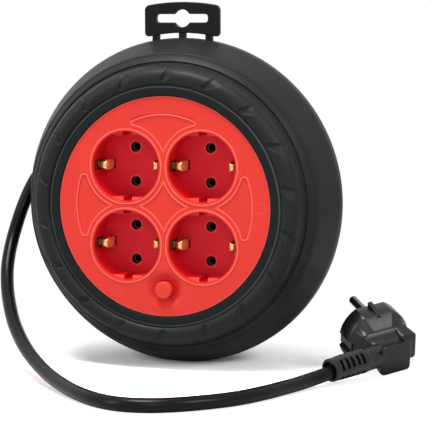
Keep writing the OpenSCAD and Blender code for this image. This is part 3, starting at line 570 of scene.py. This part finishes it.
def disc_reach(turn):
    """The round front: two flats, and a groove on each side for an earth strip."""
    c, s = abs(math.cos(turn)), abs(math.sin(turn))
    reach = min(disc_r, disc_flat / max(s, 0.01))
    return min(reach, groove_r / c) if disc_r * s < groove_half else reach


def block_reach(half_x, half_y, square=9):
    """A block with rounded corners: the higher the power, the squarer."""
    return lambda turn: (abs(math.cos(turn) / half_x) ** square
                         + abs(math.sin(turn) / half_y) ** square) ** (-1 / square)


def scaled(reach, share):
    return lambda turn: reach(turn) * share


def between_sides(x, y):
    return ((x[0] + x[1]) / 2, (y[0] + y[1]) / 2), block_reach((x[1] - x[0]) / 2,
                                                               (y[1] - y[0]) / 2)


def lofted(sections):
    """A skin over sections (z, middle, reach by angle), closed at both ends."""
    turns = [math.tau * k / plug_sides for k in range(plug_sides)]
    return skin([[from_plug(middle[0] + reach(turn) * math.cos(turn),
                            middle[1] + reach(turn) * math.sin(turn), z)
                  for turn in turns] for z, middle, reach in sections])


def gathered(skins):
    """Several skins as the corners and faces of one mesh."""
    corners, faces = [], []
    for more, sides in skins:
        faces += [tuple(i + len(corners) for i in side) for side in sides]
        corners += more
    return corners, faces


def crisp(piece, angle):
    """Smooth faces whose edges stay sharp above that angle."""
    build = bmesh.new()
    build.from_mesh(piece.data)
    bmesh.ops.recalc_face_normals(build, faces=build.faces)
    for edge in build.edges:
        if len(edge.link_faces) == 2 and edge.calc_face_angle(0) > math.radians(angle):
            edge.smooth = False
    build.to_mesh(piece.data)
    build.free()


ridge = block_reach(13.3, 10.4, 12)
front = [(z, (0, 0), scaled(reach, share)) for z, reach, share in (
    (-0.15, disc_reach, 0.965), (-0.3, disc_reach, 0.985), (-0.8, disc_reach, 1),
    (-11.0, disc_reach, 1), (-11.3, disc_reach, 0.99), (-16.7, ridge, 1.005),
    (-17.2, ridge, 1), (-17.7, ridge, 0.985), (-18.2, ridge, 0.93))]
grip = []
for z in (-16.9, -17.6, -18.3, -19, -20, -21, -22, -23.5, -25, -26.5, -28, -29, -30, -31,
          -31.8, -32.4, -32.75, -32.9):
    dent = scoop_mid - math.sqrt(scoop_r ** 2 - (z - scoop_z) ** 2)
    left = grip_x[0] - grip_root * eased(z, -25.5, -17)
    outer = grip_x[1] - eased(-z, 24, 26)
    shrink = grip_round * eased(-z, 32.2, 32.9)
    grip.append((z, *between_sides((left + shrink, outer - shrink),
                                   (max(-dent, grip_y[0]) + shrink,
                                    min(dent, grip_y[1]) - shrink))))
ear = [(z, *between_sides((ear_x[0], ear_x[1] + ear_grow * t - shrink),
                          (-ear_y + ear_foot * t + shrink, ear_y - ear_head * t - shrink)))
       for z, t, shrink in ((-16.9, 0, 0), (-21, 0.5, 0), (-25, 0.96, 0), (-25.4, 1, 0.1),
                            (-25.6, 1, 0.5))]
fins = [skin([[from_plug(x, side * y, z) for y, z in fin_line] for x in fin_x])
        for side in (-1, 1)]
plug = new_piece("plug_moulding",
                 *gathered([lofted(front), lofted(grip), lofted(ear)] + fins))
crisp(plug, 32)
plug.data.materials.append(plug_black)
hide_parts("plug_body")
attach(plug, "housing")

relief_at, relief_az, relief_el = Vector((96.07, -51.02, 7.6)), 56.3, 6.2
relief_sides, relief_rings, ring_step = 144, 164, 0.22
relief_r, core_r, throat_r, mouth_r, mouth_depth = 6.2, 4.5, 3.9, 4.95, 3.0
swell, neck, rim_round = 0.6, 0.45, 0.5
slot_turns, slot_half_turn = (64, 154, 244, 334), 27
slot_places, slot_half_w = (4.9, 8.6, 12.2, 16.0, 19.7), 0.6
az, el = math.radians(relief_az), math.radians(relief_el)
relief_way = Vector((math.cos(el) * math.cos(az), math.cos(el) * math.sin(az),
                     math.sin(el)))
relief_down = Vector((math.sin(el) * math.cos(az), math.sin(el) * math.sin(az),
                      -math.cos(el)))
relief_side = relief_way.cross(relief_down)


def relief_reach(along, turn):
    """Radius of the sleeve, let down where one of its twenty slots lies."""
    reach = relief_r + swell * (2 * eased(along, 0, 12) + eased(along, 12, 25)) / 3
    reach -= neck * eased(along, 23, 26) + rim_round * (1 - eased(along, 0, rim_round))
    aside = min(abs((math.degrees(turn) - row + 180) % 360 - 180) for row in slot_turns)
    gap = min(abs(along - middle) for middle in slot_places)
    slot = ((1 - eased(gap, slot_half_w, slot_half_w + 0.25))
            * (1 - eased(aside, slot_half_turn, slot_half_turn + 2.5)))
    return reach - slot * (reach - core_r)


def relief_ring(along, reach):
    turns = [math.tau * k / relief_sides for k in range(relief_sides)]
    return [(relief_at + relief_way * along
             + (relief_down * math.cos(turn) + relief_side * math.sin(turn))
             * reach(turn)) / 1000 for turn in turns]


mouth = [relief_ring(along, lambda turn: reach) for along, reach in (
    (mouth_depth, throat_r), (mouth_depth, mouth_r), (0, mouth_r))]
sleeve = [relief_ring(k * ring_step, lambda turn: relief_reach(k * ring_step, turn))
          for k in range(relief_rings)]
relief = new_piece("bend_relief_sleeve", *skin(mouth + sleeve))
crisp(relief, 40)
relief.data.materials.append(plug_black)
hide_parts("plug_bend_relief")
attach(relief, "housing")

# The cord's length along its line, from its bush to the plug.
cord_length = sum((b - a).length for a, b in zip(cord_line, cord_line[1:]))

# ---------------------------------------------------------------- plug pins
# Two solid round brass pins and the earth strips on the plug's sides, all nickel-plated.
# The strips are bent from sheet and lie in the grooves of the plug's front.
nickel, shader, place = new_finish("nickel", 0.22, 0.5)
shader.inputs["Metallic"].default_value = 1.0
# The plating is painted darker than bright nickel, as painted shade for the dark
# reflection the pins show.
place.grain(0.004).blend(
    (0.16, 0.16, 0.165, 1), (0.3, 0.3, 0.305, 1)).to(shader, "Base Color")
paint(["plug_pins", "plug_earth_strips"], nickel)

# ---------------------------------------------------------------- socket plate and button
# One moulding in red ABS: the wells with their raised rims, guide flats and pin holes,
# the sunk panels and the finger dish. The button is moulded in the same red.
half_pitch, hole_off = 21.575, 9.5
face_y, floor_y = -0.036, -0.0186
well_wall_r, hole_r, slot_reach = 0.019, 0.0029, 0.003
plate_red, shader, place = new_finish("plate_red", 0.42, 0.22)
depth, radius = reading(place, 1), off_axis(place)
above_axle = reading(place, 2) - axle_h / 1000
well_x = reading(place, 0).size() - half_pitch / 1000
well_z = above_axle.size() - half_pitch / 1000
from_well = well_x.over(well_z)
from_hole = well_x.over(well_z.size() - hole_off / 1000)
deep = depth.steps(face_y + 0.0006, face_y + 0.0035)
deeper = depth.steps(-0.028, floor_y)
# Painted highlights in a paler red: a thin ring on each well's raised rim, a line along
# the plate's outer edge, the ledges of the lower guide flats, which face the light (the
# upper ones, in the rim's shade, get a quarter), and a ring round each pin hole.
rim_highlight = (from_well.band(0.0201, 0.0207)
       * (1 - depth.steps(face_y - 0.0002, face_y - 0.0001)))
edge = radius.steps(0.0593, 0.0598) * (1 - deep)
low_flat = 1 - (above_axle * well_z).steps(-0.00001, 0.00001) * 0.75
ledge_highlight = (depth.band(face_y + 0.0027, face_y + 0.0032)
         * (1 - from_well.steps(well_wall_r + 0.0001, well_wall_r + 0.0002)) * low_flat)
hole_highlight = (from_hole.band(hole_r, hole_r + 0.0007)
             * depth.steps(floor_y - 0.0003, floor_y - 0.0001))
# Painted shadow: a near-black patch round the pocket where each clip hooks into the wall,
# larger than the pocket itself.
slot_shade = (from_well.steps(well_wall_r - 0.0002, well_wall_r)
             * (1 - from_well.steps(well_wall_r + 0.0004, well_wall_r + 0.0005))
             * (1 - well_z.size().steps(slot_reach - 0.0001, slot_reach + 0.0001))
             * depth.band(face_y + 0.0045, floor_y - 0.0019))
# Painted shade: below the well floors, inside the pin holes, the red turns near black, and
# so do the slot patches.
black = (depth.steps(floor_y + 0.0002, floor_y + 0.0004) + slot_shade).held()
face = place.grain(0.03, 2.0).blend((0.64, 0.033, 0.023, 1), (0.7, 0.039, 0.027, 1))
# Inside the wells the red is painted darker and deeper with depth: painted shade and
# painted red bounce light.
wall = deeper.blend((0.6, 0.004, 0.01, 1), (0.7, 0.009, 0.026, 1))
# The painted highlights gathered into one mask.
pale = (rim_highlight + edge * 0.7 + ledge_highlight * 0.8 + hole_highlight * 0.4).held()
tone = pale.blend(deep.blend(face, wall), (0.94, 0.13, 0.095, 1))
black.blend(tone, (0.012, 0.002, 0.003, 1)).to(shader, "Base Color")
(0.38 + place.grain(0.005) * 0.1).to(shader, "Roughness")
rough_up(shader, place.grain(0.0008, 3.0), 0.25, 0.00003)
paint(["socket_plate"], plate_red)
button_red, shader, place = new_finish("button_red", 0.35, 0.25)
place.grain(0.01).blend(
    (0.68, 0.036, 0.02, 1), (0.73, 0.044, 0.025, 1)).to(shader, "Base Color")
paint(["reset_button"], button_red)
ease(["socket_plate", "reset_button"], 0.0003)

# ---------------------------------------------------------------- panel lines
# Thin raised lines round the plate's panels, moulded with the plate. They catch the
# light and are painted paler than the plate as a highlight. Three faint rings mark
# the screw pillars behind.
plate_z, ring_r, well_at = 36.0, 22.9, Vector((half_pitch, half_pitch))
side_r, side_tip_r, arch_mid, arch_r, arch_tip_r = 50, 2.0, 8, 41.9, 1.0
line_w, line_h = 1.0, 0.25
mark_turns, mark_parts = (0, 120, 240), 24
mark_at_r, mark_r, mark_w, mark_h = 54.6, 2.9, 0.7, 0.08
rings_meet = half_pitch + math.sqrt(ring_r ** 2 - half_pitch ** 2)


def sweep_round(middle, radius, first, last, count):
    return [Vector(p) for p in arc(middle, radius, radius, first, last, count)]


def angle_of(v):
    return math.degrees(math.atan2(v[1], v[0]))


def half_panel(middle, radius, start, tip_r, tip_parts, hand, end):
    """An outer arc, a round tip that touches it and the well's ring, and that ring."""
    from_middle, from_well_at = radius - tip_r, ring_r + tip_r
    middle, span = Vector(middle), (well_at - Vector(middle)).length
    way = (well_at - middle) / span
    ahead = (from_middle ** 2 - from_well_at ** 2 + span ** 2) / (2 * span)
    aside = hand * math.sqrt(from_middle ** 2 - ahead ** 2)
    tip_at = middle + way * ahead + Vector((way[1], -way[0])) * aside
    out = angle_of(tip_at - middle)
    tip = sweep_round(tip_at, tip_r, out, angle_of(well_at - tip_at), tip_parts)
    well = sweep_round(well_at, ring_r, angle_of(tip_at - well_at),
                       angle_of(Vector(end) - well_at), 14)
    return sweep_round(middle, radius, start, out, 10) + tip[1:] + well[1:]


def side_panel():
    upper = half_panel((0, 0), side_r, 0, side_tip_r, 10, 1, (rings_meet, 0))
    return upper + [Vector((x, -y)) for x, y in reversed(upper)][1:-1]


def top_panel():
    half = half_panel((0, arch_mid), arch_r, 90, arch_tip_r, 8, -1, (0, rings_meet))
    return half + [Vector((-x, y)) for x, y in reversed(half)][1:-1]


def star_panel():
    spread = math.degrees(math.acos(half_pitch / ring_r))
    star, part = [], sweep_round(well_at, ring_r, 180 + spread, 270 - spread, 14)
    for _ in range(4):
        star += part[:-1]
        part = [Vector((y, -x)) for x, y in part]
    return star


def bead(outline, width, height):
    """A low ridge that follows a closed outline on the plate's face."""
    rings = []
    for i, p in enumerate(outline):
        way = (outline[(i + 1) % len(outline)] - outline[i - 1]).normalized()
        ring = [(p + Vector((way[1], -way[0])) * aside, up) for aside, up in (
            (-width / 2, -0.1), (-width / 4, height * 0.8), (0, height),
            (width / 4, height * 0.8), (width / 2, -0.1))]
        rings.append([from_axle(q[0], q[1], plate_z + up) for q, up in ring])
    return skin(rings, closed=True)


right_panel = side_panel()
left_panel = [Vector((-x, y)) for x, y in reversed(right_panel)]
beads = [bead(outline, line_w, line_h)
         for outline in (right_panel, left_panel, top_panel(), star_panel())]
for turn in mark_turns:
    mark = (mark_at_r * math.cos(math.radians(turn)),
            mark_at_r * math.sin(math.radians(turn)))
    outline = sweep_round(mark, mark_r, 360, 360 / mark_parts, mark_parts - 1)
    beads.append(bead(outline, mark_w, mark_h))
lines = new_piece("panel_lines", *gathered(beads))
line_red, shader, place = new_finish("line_red", 0.35, 0.25)
# Painted highlight: the lines get a paler red, and the pillar rings stay close to the
# plate's own red.
pale = place.grain(0.01).blend((0.88, 0.088, 0.064, 1), (0.95, 0.12, 0.09, 1))
mark_share = off_axis(place).steps(0.0508, 0.0514) * 0.8
mark_share.blend(pale, (0.66, 0.036, 0.025, 1)).to(shader, "Base Color")
lines.data.materials.append(line_red)
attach(lines, "drum")

# ---------------------------------------------------------------- earth clips
# Each well's two spring clips are bent from one brass strip with the bar that joins
# them. The strip stands up from the well's floor, curls over and hooks into the wall.
well_r, floor_z = 19.25, 18.6
strip_half, strip_crown, clip_wide, curl_less = 0.3, 0.42, 2.8, 0.9
narrow_from, narrow_to = 0.45, 0.55
bar_z, bar_half, bar_left, bar_right, joint_in, joint_out = (12, 12.8), 3, 19, 16, 4.3, 7.3
clip_line = run_through([Vector(p) for p in (
    (6.0, -6.2), (6.3, -2), (6.6, 3), (6.5, 6.8), (5.9, 9.2), (4.7, 10.6), (3.2, 10.4),
    (2.2, 8.9), (1.2, 7.6), (-0.9, 7.3))], 3)


def spring(side, middle):
    """One clip as a swept strip, wide at its face and narrow at its curl."""
    rings = []
    for i, (inward, up) in enumerate(clip_line):
        ahead = clip_line[min(i + 1, len(clip_line) - 1)] - clip_line[max(i - 1, 0)]
        way = ahead.normalized()
        wide = clip_wide - curl_less * eased(i / len(clip_line), narrow_from, narrow_to)
        ring = [from_axle(middle[0] + side * (well_r - inward - way[1] * off),
                          middle[1] + y, floor_z + up - way[0] * off)
                for off, y in ((strip_half, -wide), (strip_half, -wide * 0.5),
                               (strip_crown, 0), (strip_half, wide * 0.5),
                               (strip_half, wide), (-strip_half, wide),
                               (-strip_half, -wide))]
        rings.append(ring[::-side])
    return skin(rings)


def plank(x, y, z):
    """A flat strip of metal, from its lowest to its highest corner."""
    return skin([[from_axle(a, b, c) for a, b in (
        (x[0], y[0]), (x[1], y[0]), (x[1], y[1]), (x[0], y[1]))] for c in z])


springs = [spring(side, (x, y)) for side in (-1, 1) for x in (-half_pitch, half_pitch)
           for y in (-half_pitch, half_pitch)]
bars = [plank((-half_pitch - bar_left, half_pitch + bar_right),
              (y - bar_half, y + bar_half), bar_z) for y in (-half_pitch, half_pitch)]
joints = [plank(x, (-half_pitch, half_pitch), bar_z)
          for x in ((-joint_out, -joint_in), (joint_in, joint_out))]
clips = new_piece("earth_clips", *gathered(springs + bars + joints))
brass, shader, place = new_finish("brass", 0.24, 0.5)
shader.inputs["Metallic"].default_value = 0.75
place.grain(0.003).blend(
    (0.85, 0.42, 0.12, 1), (1.0, 0.72, 0.32, 1)).to(shader, "Base Color")
clips.data.materials.append(brass)
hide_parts("earth_bar")
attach(clips, "drum")

# ---------------------------------------------------------------- contacts
# The live and neutral bars are pressed from brass strip, with a tube for each pin. They
# lie out of reach behind the plate; their brass is painted dark as the shade they lie in.
brass_painted_dark, shader, place = new_finish("brass_painted_dark", 0.5, 0.5)
shader.inputs["Metallic"].default_value = 1.0
place.grain(0.004).blend(
    (0.12, 0.07, 0.03, 1), (0.2, 0.12, 0.05, 1)).to(shader, "Base Color")
paint(["live_bar", "neutral_bar"], brass_painted_dark)

# ---------------------------------------------------------------- drum and what it carries
# The drum's core, flanges and hub are one black moulding that turns on the rear shell's
# pin. It carries the wound cable, the clamp at the cable's inner end, the cut-out behind
# the button and the cover over the contacts.
paint(["reel_drum", "cable_winding", "cable_clamp", "thermal_cutout", "contact_cover"],
      housing_black)

# ---------------------------------------------------------------- screws and washer
# Zinc-plated steel screws hold the shells, the plate, the clamp and the cover. One more
# with a washer keeps the drum on its pin.
steel, shader, place = new_finish("steel", 0.3, 0.5)
shader.inputs["Metallic"].default_value = 1.0
place.grain(0.004).blend(
    (0.55, 0.55, 0.56, 1), (0.66, 0.66, 0.67, 1)).to(shader, "Base Color")
paint(["shell_screws", "plate_screws", "hub_washer", "hub_screw", "clamp_screws",
       "cover_screw"], steel)

# ---------------------------------------------------------------- leads
# The cable's three cores in PVC: brown for live, blue for neutral, green and yellow
# for earth. They run from the clamp to the contacts and the cut-out.
for name, dark, light in (("lead_live", (0.12, 0.045, 0.02, 1), (0.16, 0.06, 0.03, 1)),
                          ("lead_neutral", (0.02, 0.07, 0.35, 1), (0.03, 0.1, 0.45, 1)),
                          ("lead_earth", (0.25, 0.45, 0.03, 1), (0.75, 0.7, 0.05, 1))):
    finish, shader, place = new_finish(name, 0.4, 0.5)
    place.grain(0.003).blend(dark, light).to(shader, "Base Color")
    paint([name], finish)
